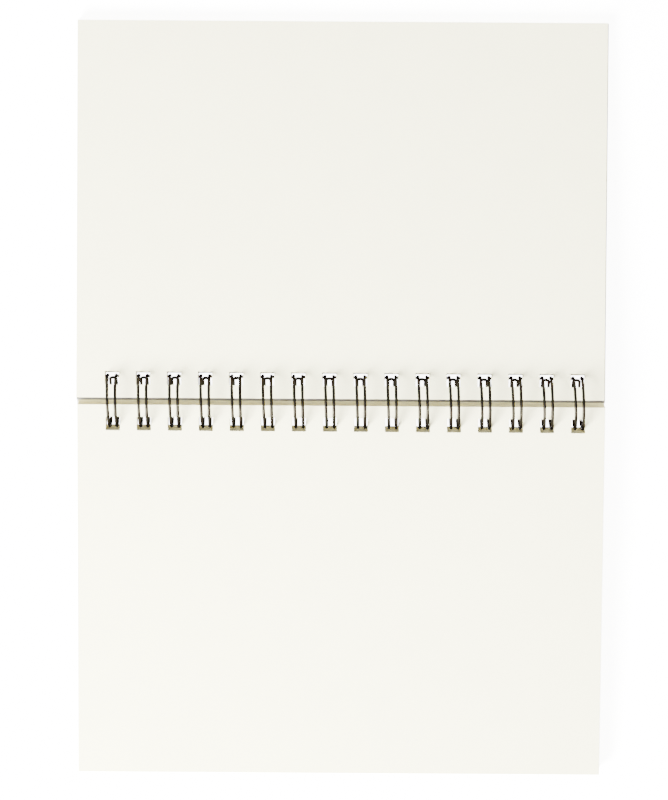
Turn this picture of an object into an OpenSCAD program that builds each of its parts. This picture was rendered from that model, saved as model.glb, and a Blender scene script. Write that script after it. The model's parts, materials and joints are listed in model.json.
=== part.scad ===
// Wire-bound sketchbook, lying open on a table.
// X runs along the binding, +Y is the front side, -Y is the back side, +Z is up.
// The origin is on the table, under the middle of the binding.
// Every leaf is flat and turns about one line, the turn axis, which lies a little
// above the centre of the wire loops, level with the open pages.

/* [Paper] */
// Width of a sheet along the binding
sheet_w = 215.9; // [200:0.1:230]
// Length of a sheet from its bound edge to its free edge
sheet_l = 153.5; // [120:0.5:180]
// Thickness of one sheet
sheet_t = 0.20; // [0.15:0.01:0.20]
// Height that one sheet takes up in the stack
sheet_step = 0.22; // [0.21:0.01:0.22]
// Sheets turned over to the front side
front_sheets = 14; // [8:1:14]
// Sheets in the whole book
sheet_count = 46; // [40:1:46]

/* [Covers] */
// Thickness of each board cover
cover_t = 1.5; // [1:0.1:1.5]
// How much wider and longer a cover is than a sheet
cover_over = 0.8; // [0:0.1:1]
// Distance from a cover's bound edge to its pressed fold line
score_place = 15; // [14:0.5:20]
// Width of the fold line
score_w = 1; // [0.8:0.1:1.5]
// Depth of the fold line
score_depth = 0.3; // [0.2:0.05:0.5]

/* [Punching] */
// Distance between two neighbouring holes
pitch = 12.7; // [12.7:0.1:12.8]
// Number of holes, and of wire loops
loop_count = 16; // [4:1:16]
// Width of a hole along the binding
hole_w = 5.9; // [5.8:0.1:6.4]
// Length of a hole away from the binding
hole_l = 5.7; // [5.7:0.1:5.8]
// Distance from the middle of a hole to the bound edge
hole_edge = 7.8; // [7.7:0.1:7.9]
// Sideways shift of the row of holes from the middle of the sheet
row_shift = 1.8; // [-2:0.1:2]

/* [Wire] */
// Diameter of the wire
wire_d = 1.15; // [1:0.05:1.15]
// Radius of a loop, to the middle of the wire
loop_r = 10.5; // [10.5:0.1:10.6]
// Distance between the two wires of a loop
loop_gap = 3.5; // [3.4:0.1:3.6]
// Radius of the bend between a loop and the link to the next loop
heel_r = 1.2; // [1.1:0.1:1.3]
// How far below the loop's centre the links lie, as an angle
seam_angle = 23.5; // [23:0.5:26]

/* [Open book] */
// Height of the turn axis above the centre of the loops
axis_rise = 2.2; // [2.1:0.1:2.3]
// Distance from the turn axis down to the open page
page_drop = 0.2; // [0.15:0.05:0.25]
// How far each stack leans towards the binding, per unit of depth squared
lean = 0.036; // [0.034:0.001:0.038]
// Depth from which the stack leans in a straight line
lean_depth = 3.7; // [3.6:0.1:4]
// Straight lean of the lower part of the stack, per unit of depth
low_lean = 0.2; // [0.15:0.01:0.22]
// Distance from the turn axis to the hole of a leaf with no depth
hole_reach = 9.4; // [9.3:0.1:9.5]
// Largest sideways shift of a sheet from its place in the stack
shuffle = 0.22; // [0:0.02:0.3]

/* [Hidden] */
loop_z = loop_r + wire_d / 2;
axis_z = loop_z + axis_rise;
back_sheets = sheet_count - front_sheets;
cover_w = sheet_w + cover_over;
cover_l = sheet_l + cover_over;
front_cover_top = page_drop + front_sheets * sheet_step;
back_cover_top = page_drop + back_sheets * sheet_step;
front_tilt = resting_tilt(front_cover_top + cover_t);
back_tilt = resting_tilt(back_cover_top + cover_t);
heel_angle = seam_angle - arc_angle(heel_r);
tip_room = 3.9;
crimp_d = wire_d + 0.07;
crimp_l = 0.4;
crimp_gap = 0.05;
tip_angle = heel_angle + arc_angle(tip_room);
paper_color = [0.95, 0.94, 0.88];
board_color = [0.16, 0.17, 0.18];
wire_color = [0.25, 0.24, 0.22];

function sheet_name(k) = str("sheet_", k < 10 ? "0" : "", k);
// Angle of a stretch along the loop
function arc_angle(length) = length / loop_r * 180 / PI;
// Distance from the turn axis to a leaf's holes, for the depth of its upper face
function hole_place(depth) =
    hole_reach - lean * pow(min(depth, lean_depth), 2) - low_lean * max(0, depth - lean_depth);
// Tilt at which a cover's free lower edge touches the table
function resting_tilt(depth) =
    let (reach = hole_place(depth) - hole_edge + cover_l)
    asin(axis_z / norm([depth, reach])) - atan(depth / reach);
// Places of the loops along the binding
function loop_x(i) = row_shift + (i - (loop_count - 1) / 2) * pitch;
// Small even scatter of the sheets, from -1 to 1
function scatter(k, step) = sin(k * step);

// A flat punched leaf, its upper face at the given depth under the turn axis
// and its holes at the given reach from it
module leaf(width, length, thick, depth, reach) {
    difference() {
        translate([-width / 2, reach - hole_edge, -depth - thick])
            cube([width, length, thick]);
        for (i = [0:loop_count - 1])
            translate([loop_x(i) - hole_w / 2, reach - hole_l / 2, -depth - thick - 1])
                cube([hole_w, hole_l, thick + 2]);
    }
}

// Puts a leaf on the front side (side = 1) or the back side (side = -1)
module on_side(side, tilt) {
    translate([0, 0, axis_z])
        mirror([0, side < 0 ? 1 : 0, 0])
            rotate([-tilt, 0, 0])
                children();
}

// A board with a fold line pressed into its outer, lower face
module board(depth) {
    low = depth + cover_t;
    difference() {
        leaf(cover_w, cover_l, cover_t, depth, hole_place(low));
        translate([-cover_w, hole_place(low) - hole_edge + score_place, -low - 1])
            cube([2 * cover_w, score_w, 1 + score_depth]);
    }
}

module front_cover() {
    color(board_color)
        on_side(1, front_tilt)
            board(front_cover_top);
}

module back_cover() {
    color(board_color)
        on_side(-1, back_tilt)
            board(back_cover_top);
}

// Sheets count from the front cover, the open pages are the last front sheet and the next one
module sheet(k) {
    front = k <= front_sheets;
    above = front ? front_sheets - k : k - front_sheets - 1;
    depth = page_drop + above * sheet_step;
    color(paper_color)
        on_side(front ? 1 : -1, front ? front_tilt : back_tilt)
            translate([shuffle * scatter(k, 97), shuffle * scatter(k, 61) / 2, 0])
                leaf(sheet_w, sheet_l, sheet_t, depth, hole_place(depth));
}

// A bend of the wire in the XY plane, from +X on, round the origin,
// cut short at both ends so that a crimp joins it to the next piece
module bend(radius, angle) {
    short = crimp_gap / radius * 180 / PI;
    rotate([0, 0, short])
        rotate_extrude(angle = angle - 2 * short, $fn = 64)
            translate([radius, 0])
                circle(d = wire_d, $fn = 32);
}

// A slight swelling of the wire where two bends meet, along X
module crimp() {
    rotate([0, 90, 0])
        cylinder(d = crimp_d, h = crimp_l, center = true, $fn = 32);
}

// Moves children from the loop's flat tangent plane to an angle below its centre:
// there X stays X, and Y points up along the loop
module on_loop(angle) {
    translate([0, loop_r * cos(angle), loop_z - loop_r * sin(angle)])
        rotate([90 - angle, 0, 0])
            children();
}

// One of the two wires of a loop, from the heel over the top and round to the tip
module loop_wire() {
    translate([0, 0, loop_z])
        rotate([0, 90, 0])
            rotate([0, 0, 90 - heel_angle])
                bend(loop_r, 360 - (tip_angle - heel_angle));
}

// The closed round end of a loop
module tip() {
    on_loop(tip_angle) {
        bend(loop_gap / 2, 180);
        for (side = [-1, 1])
            translate([side * loop_gap / 2, 0, 0])
                rotate([0, 0, 90])
                    crimp();
    }
}

// The bend from a loop outward into the link
module heel(side) {
    mirror([side < 0 ? 1 : 0, 0, 0])
        translate([loop_gap / 2, 0, 0])
            on_loop(heel_angle) {
                translate([heel_r, 0, 0])
                    rotate([0, 0, 180])
                        bend(heel_r, 90);
                rotate([0, 0, 90])
                    crimp();
                translate([heel_r, -heel_r, 0])
                    crimp();
            }
}

// The straight wire from one loop to the next
module link() {
    length = pitch - loop_gap - 2 * heel_r - 2 * crimp_gap;
    translate([loop_gap / 2 + heel_r + crimp_gap, 0, 0])
        on_loop(heel_angle)
            translate([0, -heel_r, 0])
                rotate([0, 90, 0])
                    cylinder(d = wire_d, h = length, $fn = 32);
}

module twin_loop_wire() {
    color(wire_color)
        union()
            for (i = [0:loop_count - 1])
                translate([loop_x(i), 0, 0]) {
                    for (side = [-1, 1]) {
                        translate([side * loop_gap / 2, 0, 0])
                            loop_wire();
                        heel(side);
                    }
                    tip();
                    if (i < loop_count - 1)
                        link();
                }
}

twin_loop_wire();
front_cover();
back_cover();
for (k = [1:sheet_count])
    sheet(k);
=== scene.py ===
"""Wire-bound sketchbook, lying open. Metres; +X along the binding, +Y the front side, +Z up."""
import json
import math
import random

import bpy
import bmesh
from mathutils import Matrix, Vector


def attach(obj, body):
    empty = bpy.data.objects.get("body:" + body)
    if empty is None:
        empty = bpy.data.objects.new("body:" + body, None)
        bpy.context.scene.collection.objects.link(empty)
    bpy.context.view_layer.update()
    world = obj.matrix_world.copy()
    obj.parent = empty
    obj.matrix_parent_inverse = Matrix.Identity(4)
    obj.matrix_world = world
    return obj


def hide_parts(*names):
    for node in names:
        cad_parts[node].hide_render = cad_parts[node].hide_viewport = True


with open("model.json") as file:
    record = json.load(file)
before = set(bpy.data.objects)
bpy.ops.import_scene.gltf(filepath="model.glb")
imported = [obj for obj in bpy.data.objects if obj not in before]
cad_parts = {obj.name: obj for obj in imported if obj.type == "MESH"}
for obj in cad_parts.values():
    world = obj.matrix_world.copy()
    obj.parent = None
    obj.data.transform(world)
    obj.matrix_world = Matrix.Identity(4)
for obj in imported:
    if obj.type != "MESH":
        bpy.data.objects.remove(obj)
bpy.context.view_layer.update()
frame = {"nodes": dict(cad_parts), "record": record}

MM = 0.001
rng = random.Random(7)

# Sizes that repeat the CAD model's, in millimetres
SHEET_W = 215.9
SHEET_L = 153.5
SHEET_T = 0.20
SHEET_STEP = 0.22
FRONT_SHEETS = 14
BACK_SHEETS = 32
COVER_T = 1.5
COVER_OVER = 0.8
SCORE_PLACE = 15.0
SCORE_W = 1.0
SCORE_DEPTH = 0.3
PITCH = 12.7
LOOP_COUNT = 16
HOLE_W = 5.9
HOLE_L = 5.7
HOLE_EDGE = 7.8
ROW_SHIFT = 1.8
HEEL_R = 1.2
SEAM_ANGLE = 23.5
TIP_ROOM = 3.9
PAGE_DROP = 0.2
AXIS_RISE = 2.2
HOLE_REACH = 9.4
LEAN = 0.036
LEAN_DEPTH = 3.7
LOW_LEAN = 0.2

# Wire of the binding, in millimetres: a little thicker than the CAD's, on a loop of the
# same outer size. The two wires of a loop come closer from its heel to its tip.
WIRE_D = 1.22
LOOP_R = 10.465
HEEL_GAP = 3.56
TIP_GAP = 2.6
LOOP_Z = LOOP_R + WIRE_D / 2
AXIS_Z = LOOP_Z + AXIS_RISE

# The loops lean, so the front side (1) and the back side (-1) lie shifted a little,
# one way and the other. Millimetres and degrees.
WIRE_LEAN = 1.9
WIRE_SHIFT = 0.1
SIDE_SHIFT = {1: -0.2, -1: 0.2}
HOLE_CORNER = 0.45

# How far the covers' bound edges reach past the CAD's, towards the gutter
FRONT_SPARE = 0.6
BACK_SPARE = 0.1

# Small unevenness, in millimetres; the lean's is a slope
HEEL_JITTER = 0.04
TIP_JITTER = 0.08
LEAN_JITTER = 0.004
SCATTER_X = 0.09
SCATTER_Y = 0.11
WAVE_DEPTH = 0.03
WAVE_START = 16
WAVE_GROWTH = 50

# How finely the meshes are divided
HEEL_STEPS = 8
LOOP_STEPS = 96
TIP_STEPS = 16
WIRE_SIDES = 14
CORNER_STEPS = 4
GROOVE_STEPS = 6
PAGE_SPACING = 3.4
STACK_SPACING = 40


def hole_place(depth):
    """Distance from the turn axis to a leaf's holes."""
    return HOLE_REACH - LEAN * min(depth, LEAN_DEPTH) ** 2 - LOW_LEAN * max(0.0, depth - LEAN_DEPTH)


def resting_tilt(low):
    """Tilt at which a cover with its lower face this deep rests on the table."""
    reach = hole_place(low) - HOLE_EDGE + SHEET_L + COVER_OVER
    return math.asin(AXIS_Z / math.hypot(low, reach)) - math.atan(low / reach)


def loop_x(i):
    """Place of a loop, and of its holes, along the binding."""
    return ROW_SHIFT + (i - (LOOP_COUNT - 1) / 2) * PITCH


FRONT_TOP = PAGE_DROP + FRONT_SHEETS * SHEET_STEP
BACK_TOP = PAGE_DROP + BACK_SHEETS * SHEET_STEP
TILT = {1: resting_tilt(FRONT_TOP + COVER_T), -1: resting_tilt(BACK_TOP + COVER_T)}


def side_matrix(side):
    """From a leaf's own axes (x, reach, -depth) in millimetres to the shared frame in metres."""
    turn = Matrix.Rotation(-TILT[side], 4, "X")
    flip = Matrix.Diagonal((1, side, 1, 1))
    return Matrix.Scale(MM, 4) @ Matrix.Translation((0, 0, AXIS_Z)) @ flip @ turn


def new_object(name, bm, body, material, replaced=()):
    """Puts a finished mesh in the scene. A piece of the book rides on a body, the floor on none."""
    mesh = bpy.data.meshes.new(name)
    bm.to_mesh(mesh)
    bm.free()
    obj = bpy.data.objects.new(name, mesh)
    bpy.context.scene.collection.objects.link(obj)
    mesh.materials.append(material)
    if body:
        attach(obj, body)
    if replaced:
        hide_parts(*replaced)
    return obj


def shade_smooth(obj, angle):
    for polygon in obj.data.polygons:
        polygon.use_smooth = True
    obj.data.set_sharp_from_angle(angle=math.radians(angle))


# ---------------------------------------------------------------- materials

def new_material(name):
    """A material with nothing but a Principled shader, ready for its nodes."""
    mat = bpy.data.materials.new(name)
    mat.use_nodes = True
    tree = mat.node_tree
    tree.nodes.clear()
    out = tree.nodes.new("ShaderNodeOutputMaterial")
    shader = tree.nodes.new("ShaderNodeBsdfPrincipled")
    tree.links.new(shader.outputs["BSDF"], out.inputs["Surface"])
    return mat, tree, shader


def linear(r, g, b):
    """sRGB numbers from 0 to 255 as a linear colour."""
    def channel(value):
        value /= 255
        return value / 12.92 if value <= 0.04045 else ((value + 0.055) / 1.055) ** 2.4
    return (channel(r), channel(g), channel(b), 1.0)


def grey(value):
    return (value, value, value, 1)


def darker(colour, share):
    return tuple(c * share for c in colour[:3]) + (1.0,)


def feed(tree, socket, value):
    """Links another node's output to a socket, or sets the socket to a constant."""
    if hasattr(value, "is_linked"):
        tree.links.new(value, socket)
    else:
        socket.default_value = value


def noise(tree, coords, scale, detail=4.0, roughness=0.55, stretch=(1, 1, 1)):
    """Noise in the object's own space, at a scale in features per metre."""
    mapping = tree.nodes.new("ShaderNodeMapping")
    mapping.inputs["Scale"].default_value = stretch
    tree.links.new(coords, mapping.inputs["Vector"])
    tex = tree.nodes.new("ShaderNodeTexNoise")
    tex.inputs["Scale"].default_value = scale
    tex.inputs["Detail"].default_value = detail
    tex.inputs["Roughness"].default_value = roughness
    tree.links.new(mapping.outputs["Vector"], tex.inputs["Vector"])
    return tex.outputs["Fac"]


def ramp(tree, fac, stops):
    """Colour ramp through (place, colour) stops."""
    node = tree.nodes.new("ShaderNodeValToRGB")
    node.color_ramp.elements[0].position = stops[0][0]
    node.color_ramp.elements[0].color = stops[0][1]
    node.color_ramp.elements[1].position = stops[-1][0]
    node.color_ramp.elements[1].color = stops[-1][1]
    for place, colour in stops[1:-1]:
        node.color_ramp.elements.new(place).color = colour
    tree.links.new(fac, node.inputs["Fac"])
    return node.outputs["Color"]


def mix_colour(tree, fac, a, b, blend="MIX"):
    node = tree.nodes.new("ShaderNodeMix")
    node.data_type = "RGBA"
    node.blend_type = blend
    feed(tree, node.inputs[0], fac)
    feed(tree, node.inputs[6], a)
    feed(tree, node.inputs[7], b)
    return node.outputs[2]


def math_node(tree, operation, *values):
    node = tree.nodes.new("ShaderNodeMath")
    node.operation = operation
    for socket, value in zip(node.inputs, values):
        feed(tree, socket, value)
    return node.outputs[0]


def edge_mask(tree, coords):
    """1 on the cut edges of a leaf, where the surface stands upright, and 0 on its faces."""
    split = tree.nodes.new("ShaderNodeSeparateXYZ")
    tree.links.new(coords.outputs["Normal"], split.inputs[0])
    return math_node(tree, "LESS_THAN", math_node(tree, "ABSOLUTE", split.outputs["Z"]), 0.6)


def bump(tree, shader, height, distance, strength=1.0):
    node = tree.nodes.new("ShaderNodeBump")
    node.inputs["Distance"].default_value = distance
    node.inputs["Strength"].default_value = strength
    tree.links.new(height, node.inputs["Height"])
    tree.links.new(node.outputs["Normal"], shader.inputs["Normal"])


def paper_material(name, face, edge):
    """Uncoated drawing paper: fine tooth, faint cloudy formation, and a darker tan on the cut edges
    and hole walls that is painted shade, standing in for the shade along the stacked sheets.
    """
    mat, tree, shader = new_material(name)
    coords = tree.nodes.new("ShaderNodeTexCoord")
    place = coords.outputs["Object"]
    cloud = noise(tree, place, 55, 3, 0.5)
    fibre = noise(tree, place, 900, 5, 0.6, (1, 2.2, 1))
    base = ramp(tree, cloud, [(0.35, face), (0.72, darker(face, 0.972))])
    fleck = ramp(tree, fibre, [(0.3, (0.965, 0.96, 0.95, 1)), (0.55, grey(1))])
    page = mix_colour(tree, 1.0, base, fleck, "MULTIPLY")
    # Painted shade: the upright cut edges and hole walls get a darker tan, with faint streaks
    layers = noise(tree, place, 2600, 2, 0.5, (0.15, 0.15, 3))
    cut = ramp(tree, layers, [(0.35, edge), (0.7, darker(edge, 0.86))])
    colour = mix_colour(tree, edge_mask(tree, coords), page, cut)
    tree.links.new(colour, shader.inputs["Base Color"])
    shader.inputs["Roughness"].default_value = 0.88
    shader.inputs["Specular IOR Level"].default_value = 0.25
    tooth = noise(tree, place, 2400, 4, 0.65)
    bump(tree, shader, math_node(tree, "ADD", tooth, fibre), 0.00006, 0.55)
    return mat


def board_material(name):
    """Grey board with a fine pressed grain, lighter at its cut edges."""
    mat, tree, shader = new_material(name)
    coords = tree.nodes.new("ShaderNodeTexCoord")
    place = coords.outputs["Object"]
    cloud = noise(tree, place, 40, 4, 0.6)
    speck = noise(tree, place, 1300, 4, 0.7)
    face = ramp(tree, cloud, [(0.3, linear(96, 95, 92)), (0.7, linear(84, 83, 81))])
    spot_stops = [(0.36, (0.78, 0.77, 0.75, 1)), (0.5, grey(1)), (0.68, (1.12, 1.12, 1.1, 1))]
    panel = mix_colour(tree, 1.0, face, ramp(tree, speck, spot_stops), "MULTIPLY")
    layers = noise(tree, place, 1800, 3, 0.6, (0.1, 0.1, 2.5))
    cut = ramp(tree, layers, [(0.3, linear(150, 147, 138)), (0.7, linear(118, 115, 107))])
    colour = mix_colour(tree, edge_mask(tree, coords), panel, cut)
    tree.links.new(colour, shader.inputs["Base Color"])
    shader.inputs["Roughness"].default_value = 0.74
    shader.inputs["Specular IOR Level"].default_value = 0.35
    bump(tree, shader, speck, 0.00008, 0.5)
    return mat


def wire_material(name):
    """Coated steel wire, dark bronze-grey, with faint draw marks and worn spots."""
    mat, tree, shader = new_material(name)
    coords = tree.nodes.new("ShaderNodeTexCoord")
    place = coords.outputs["Object"]
    worn = noise(tree, place, 420, 4, 0.6)
    draw = noise(tree, place, 3000, 3, 0.6)
    coat_stops = [(0.3, linear(28, 26, 22)), (0.55, linear(37, 34, 29)), (0.75, linear(47, 43, 37))]
    tree.links.new(ramp(tree, worn, coat_stops), shader.inputs["Base Color"])
    shader.inputs["Metallic"].default_value = 1.0
    shader.inputs["Specular Tint"].default_value = (0.16, 0.155, 0.14, 1)
    rough = ramp(tree, draw, [(0.3, grey(0.3)), (0.7, grey(0.44))])
    tree.links.new(rough, shader.inputs["Roughness"])
    bump(tree, shader, draw, 0.00001, 0.25)
    return mat


PAPER_FACE = linear(246, 242, 202)
# The edge colour is painted shade: a darker tan for the shaded sides of the stacks and holes
PAPER_EDGE_PAINTED_SHADE = linear(190, 178, 118)
paper_top = paper_material("paper_open_page", linear(247, 244, 204), PAPER_EDGE_PAINTED_SHADE)
# Each paper's second colour is painted shade for its cut edges and hole walls
papers = [
    paper_material("paper_warm", PAPER_FACE, PAPER_EDGE_PAINTED_SHADE),
    paper_material("paper_pale", linear(248, 245, 214), linear(201, 190, 134)),
    paper_material("paper_deep", linear(243, 238, 201), linear(178, 165, 104)),
]
board = board_material("cover_board")
wire = wire_material("coated_wire")


def paper_of_sheet(number):
    """The papers differ slightly from one sheet to the next."""
    return papers[(number * 5) % 3]


def look_of_node(name):
    """Material and slot of a CAD node."""
    if name.startswith("sheet_"):
        return paper_of_sheet(int(name[-2:])), "paper"
    return (board, "board") if name.endswith("cover") else (wire, "wire")


for name, node in frame["nodes"].items():
    material, slot = look_of_node(name)
    node.data.materials.clear()
    node.data.materials.append(material)


# ---------------------------------------------------------------- wire

def on_loop(angle, x, up):
    """A point in the loop's flat tangent plane at an angle below its centre."""
    y = LOOP_R * math.cos(angle) + up * math.sin(angle)
    z = LOOP_Z - LOOP_R * math.sin(angle) + up * math.cos(angle)
    return Vector((x, y, z))


def wire_path():
    """Middle line of the whole wire, from the first stub to the last, in millimetres."""
    heel = math.radians(SEAM_ANGLE) - HEEL_R / LOOP_R
    tip = heel + TIP_ROOM / LOOP_R
    lean = math.tan(math.radians(WIRE_LEAN))
    points = []
    for i in range(LOOP_COUNT):
        start = len(points)
        heel_half = HEEL_GAP / 2 + rng.uniform(-HEEL_JITTER, HEEL_JITTER)
        tip_half = TIP_GAP / 2 + rng.uniform(-TIP_JITTER, TIP_JITTER)
        left_heel = []
        for k in range(HEEL_STEPS + 1):
            a = k * math.pi / 2 / HEEL_STEPS
            out = heel_half + HEEL_R * (1 - math.cos(a))
            left_heel.append(on_loop(heel, -out, -HEEL_R * math.sin(a)))
        points += reversed(left_heel)
        turn = 2 * math.pi - (tip - heel)
        left = []
        for k in range(1, LOOP_STEPS):
            a = -heel + turn * k / LOOP_STEPS
            half = heel_half + (tip_half - heel_half) * k / LOOP_STEPS
            left.append(Vector((-half, LOOP_R * math.cos(a), LOOP_Z + LOOP_R * math.sin(a))))
        points += left
        round_tip = [k * math.pi / TIP_STEPS for k in range(TIP_STEPS + 1)]
        points += [on_loop(tip, -tip_half * math.cos(a), tip_half * math.sin(a)) for a in round_tip]
        points += [Vector((-p.x, p.y, p.z)) for p in reversed(left)]
        points += [Vector((-p.x, p.y, p.z)) for p in left_heel]
        slack = rng.uniform(-LEAN_JITTER, LEAN_JITTER)
        for p in points[start:]:
            p.x += loop_x(i) + WIRE_SHIFT - p.y * (lean + slack)
    return points


def tube(points, radius, sides):
    """Mesh swept along the points without twist, closed at both ends."""
    bm = bmesh.new()
    rings = []
    normal = (points[1] - points[0]).normalized().orthogonal().normalized()
    for k, p in enumerate(points):
        tangent = (points[min(k + 1, len(points) - 1)] - points[max(k - 1, 0)]).normalized()
        normal = (normal - tangent * normal.dot(tangent)).normalized()
        other = tangent.cross(normal)
        ring = []
        for s in range(sides):
            a = 2 * math.pi * s / sides
            ring.append(bm.verts.new((p + (normal * math.cos(a) + other * math.sin(a)) * radius) * MM))
        rings.append(ring)
    for a, b in zip(rings, rings[1:]):
        for s in range(sides):
            t = (s + 1) % sides
            bm.faces.new((a[s], a[t], b[t], b[s]))
    bm.faces.new(list(reversed(rings[0])))
    bm.faces.new(rings[-1])
    bmesh.ops.recalc_face_normals(bm, faces=bm.faces)
    return bm


binding_mesh = tube(wire_path(), WIRE_D / 2, WIRE_SIDES)
binding = new_object("binding_wire", binding_mesh, "binding", wire, ["twin_loop_wire"])
shade_smooth(binding, 60)


# ---------------------------------------------------------------- leaves

def grid_lines(low, high, cuts, spacing):
    """Even lines from low to high that also pass through every cut."""
    stops = sorted({low, high, *cuts})
    lines = []
    for a, b in zip(stops, stops[1:]):
        count = max(1, round((b - a) / spacing))
        lines += [a + (b - a) * k / count for k in range(count)]
    return lines + [high]


def leaf(side, depth, size, top_shape, low_shape, reach, drift=(0, 0), spacing=STACK_SPACING,
         score=(), spare=0.0):
    """A punched leaf of a width, length and thickness as one closed mesh. Its hole row lies at
    reach from the turn axis, spare is what the bound edge reaches past its CAD place, and
    score lists the lines of a fold."""
    width, length, thick = size
    corner = HOLE_CORNER
    holes = [loop_x(i) for i in range(LOOP_COUNT)]
    near = reach - HOLE_L / 2
    far = reach + HOLE_L / 2
    bound_edge = reach - HOLE_EDGE
    cuts_x = []
    for x in holes:
        cuts_x += [x - HOLE_W / 2, x - HOLE_W / 2 + corner, x + HOLE_W / 2 - corner, x + HOLE_W / 2]
    cuts_y = [near, near + corner, far - corner, far] + [bound_edge + line for line in score]
    xs = grid_lines(-width / 2, width / 2, cuts_x, spacing)
    ys = grid_lines(bound_edge - spare, bound_edge + length, cuts_y, spacing)
    bm = bmesh.new()
    matrix = side_matrix(side)
    verts = {}

    def vert(x, y, upper):
        key = (round(x, 4), round(y, 4), upper)
        if key not in verts:
            z = -depth + top_shape(x, y) if upper else -depth - thick + low_shape(x, y)
            verts[key] = bm.verts.new(matrix @ Vector((x + drift[0], y + drift[1], z)))
        return verts[key]

    def face(outline):
        bm.faces.new([vert(x, y, True) for x, y in outline])
        bm.faces.new([vert(x, y, False) for x, y in reversed(outline)])

    def hole_at(x, y):
        for hole in holes:
            if abs(x - hole) < HOLE_W / 2 and near < y < far:
                return hole
        return None

    def round_corner(hole, x, y):
        """The paper left in a corner of a hole, outside its rounding."""
        sx = 1 if x > hole else -1
        sy = 1 if y > reach else -1
        cx = hole + sx * (HOLE_W / 2 - corner)
        cy = reach + sy * (HOLE_L / 2 - corner)
        outer = (cx + sx * corner, cy + sy * corner)
        arc = []
        for k in range(CORNER_STEPS + 1):
            a = math.pi / 2 * k / CORNER_STEPS
            arc.append((cx + sx * corner * math.cos(a), cy + sy * corner * math.sin(a)))
        for p, q in zip(arc, arc[1:]):
            face([outer, p, q] if sx * sy < 0 else [outer, q, p])

    for xa, xb in zip(xs, xs[1:]):
        for ya, yb in zip(ys, ys[1:]):
            x, y = (xa + xb) / 2, (ya + yb) / 2
            hole = hole_at(x, y)
            if hole is None:
                face([(xa, ya), (xb, ya), (xb, yb), (xa, yb)])
            elif abs(x - hole) > HOLE_W / 2 - corner and abs(y - reach) > HOLE_L / 2 - corner:
                round_corner(hole, x, y)
    below = {v: verts[(x, y, False)] for (x, y, upper), v in verts.items() if upper}
    for edge in [e for e in bm.edges if len(e.link_faces) == 1]:
        a, b = edge.verts
        if a in below and b in below:
            bm.faces.new((a, b, below[b], below[a]))
    bmesh.ops.recalc_face_normals(bm, faces=bm.faces)
    return bm


def page_wave(phase):
    """Very slight wave of a page, in millimetres, never above its flat place. It starts
    past the holes and grows over the next stretch of the page."""
    def shape(x, y):
        grown = min(1.0, max(0.0, (y - WAVE_START) / WAVE_GROWTH))
        return -WAVE_DEPTH * grown * (1 + math.sin(x / 31 + phase) * math.cos(y / 43 + phase))
    return shape


def flat(x, y):
    return 0.0


def body_of(node):
    """The body that a CAD node belongs to."""
    for body, members in frame["record"]["behaviour"]["bodies"].items():
        if node in members:
            return body
    return None


def sheet(number):
    """One sheet of paper. The open pages have a finer mesh and a slight wave."""
    node = "sheet_%02d" % number
    side = 1 if number <= FRONT_SHEETS else -1
    above = FRONT_SHEETS - number if side == 1 else number - FRONT_SHEETS - 1
    drift_x = SIDE_SHIFT[side] + SCATTER_X * math.sin(math.radians(number * 97)) * min(1, above)
    drift = (drift_x, SCATTER_Y * math.sin(math.radians(number * 61)))
    depth = PAGE_DROP + above * SHEET_STEP
    size = (SHEET_W, SHEET_L, SHEET_T)
    if above:
        name = "paper_%02d" % number
        shape, spacing, material = flat, STACK_SPACING, paper_of_sheet(number)
    else:
        name = "open_page_far" if side == 1 else "open_page_near"
        shape, spacing, material = page_wave(number * 1.7), PAGE_SPACING, paper_top
    bm = leaf(side, depth, size, shape, shape, hole_place(depth), drift, spacing)
    new_object(name, bm, body_of(node), material, [node])


def cover(name, side, top, node, spare):
    """A board with softened edges and a pressed fold line in its outer face."""
    low = top + COVER_T
    reach = hole_place(low)
    start = reach - HOLE_EDGE + SCORE_PLACE

    def groove(x, y):
        t = (y - start) / SCORE_W
        return SCORE_DEPTH * math.sin(math.pi * t) ** 0.5 if 0 < t < 1 else 0.0

    size = (SHEET_W + COVER_OVER, SHEET_L + COVER_OVER, COVER_T)
    score = [SCORE_PLACE + SCORE_W * k / GROOVE_STEPS for k in range(GROOVE_STEPS + 1)]
    bm = leaf(side, top, size, flat, groove, reach, score=score, spare=spare)
    obj = new_object(name, bm, body_of(node), board, [node])
    soft = obj.modifiers.new("soft_edges", "BEVEL")
    soft.width = 0.18 * MM
    soft.segments = 2
    soft.limit_method = "ANGLE"
    soft.angle_limit = math.radians(50)


for number in range(1, FRONT_SHEETS + BACK_SHEETS + 1):
    sheet(number)
cover("front_board", 1, FRONT_TOP, "front_cover", FRONT_SPARE)
cover("back_board", -1, BACK_TOP, "back_cover", BACK_SPARE)


# ---------------------------------------------------------------- floor, light and camera

# Strong enough to leave the ground, and what shows through the holes, white
FLOOR_GLOW = 10.0
FLOOR_HALF = 3.0
FLOOR_DROP = 0.0002
LIGHT_COLOUR = (1.0, 0.995, 0.975)
WORLD_STRENGTH = 1.6


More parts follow.
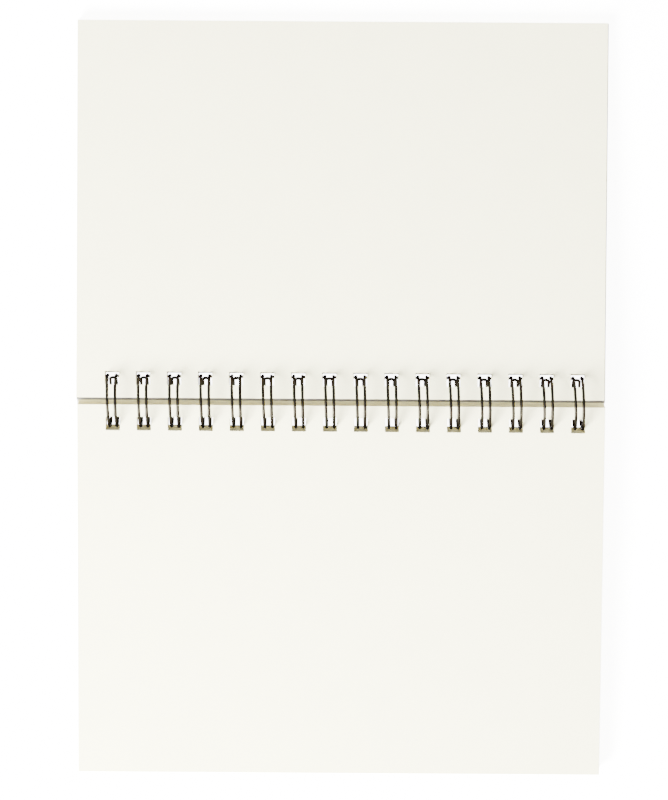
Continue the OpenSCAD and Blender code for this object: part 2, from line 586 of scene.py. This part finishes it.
def floor():
    """Plain pale ground that glows softly, just under the book."""
    bm = bmesh.new()
    bmesh.ops.create_grid(bm, x_segments=4, y_segments=4, size=FLOOR_HALF)
    mat, tree, shader = new_material("pale_floor")
    shader.inputs["Base Color"].default_value = (0.93, 0.93, 0.925, 1)
    shader.inputs["Roughness"].default_value = 0.9
    shader.inputs["Specular IOR Level"].default_value = 0.1
    shader.inputs["Emission Color"].default_value = (1, 1, 1, 1)
    shader.inputs["Emission Strength"].default_value = FLOOR_GLOW
    obj = new_object("floor", bm, None, mat)
    obj.location.z = -FLOOR_DROP


def area_light(name, place, size, watts):
    """A square soft light that points at the middle of the book."""
    data = bpy.data.lights.new(name, "AREA")
    data.shape = "RECTANGLE"
    data.size = size
    data.size_y = size
    data.energy = watts
    data.color = LIGHT_COLOUR
    obj = bpy.data.objects.new(name, data)
    bpy.context.scene.collection.objects.link(obj)
    obj.location = place
    obj.rotation_euler = (-Vector(place)).to_track_quat("-Z", "Y").to_euler()


floor()
area_light("key", (-0.6, -0.65, 0.7), 0.6, 155)
area_light("fill", (1.2, 0.9, 1.6), 1.6, 5)

world = bpy.data.worlds.new("studio")
bpy.context.scene.world = world
world.use_nodes = True
background = world.node_tree.nodes["Background"]
background.inputs["Color"].default_value = (1, 1, 1, 1)
background.inputs["Strength"].default_value = WORLD_STRENGTH

# Almost straight above the book, in metres; the lens is in millimetres
CAMERA_TILT = math.radians(5.375)
CAMERA_ROLL = math.radians(0.378)
CAMERA_REACH = 1.3
CAMERA_TARGET = Vector((-0.003584, 0.000919, AXIS_Z * MM))
CAMERA_LENS = 143.07
CAMERA_SENSOR = 36
camera_data = bpy.data.cameras.new("camera")
camera_data.sensor_width = CAMERA_SENSOR
camera_data.lens = CAMERA_LENS
camera_data.clip_start = 0.05
camera_data.clip_end = 20
camera = bpy.data.objects.new("camera", camera_data)
bpy.context.scene.collection.objects.link(camera)
upward = Vector((0, math.sin(CAMERA_TILT), math.cos(CAMERA_TILT)))
camera.location = CAMERA_TARGET + CAMERA_REACH * upward
camera.rotation_euler = (-CAMERA_TILT, 0, CAMERA_ROLL)
bpy.context.scene.camera = camera
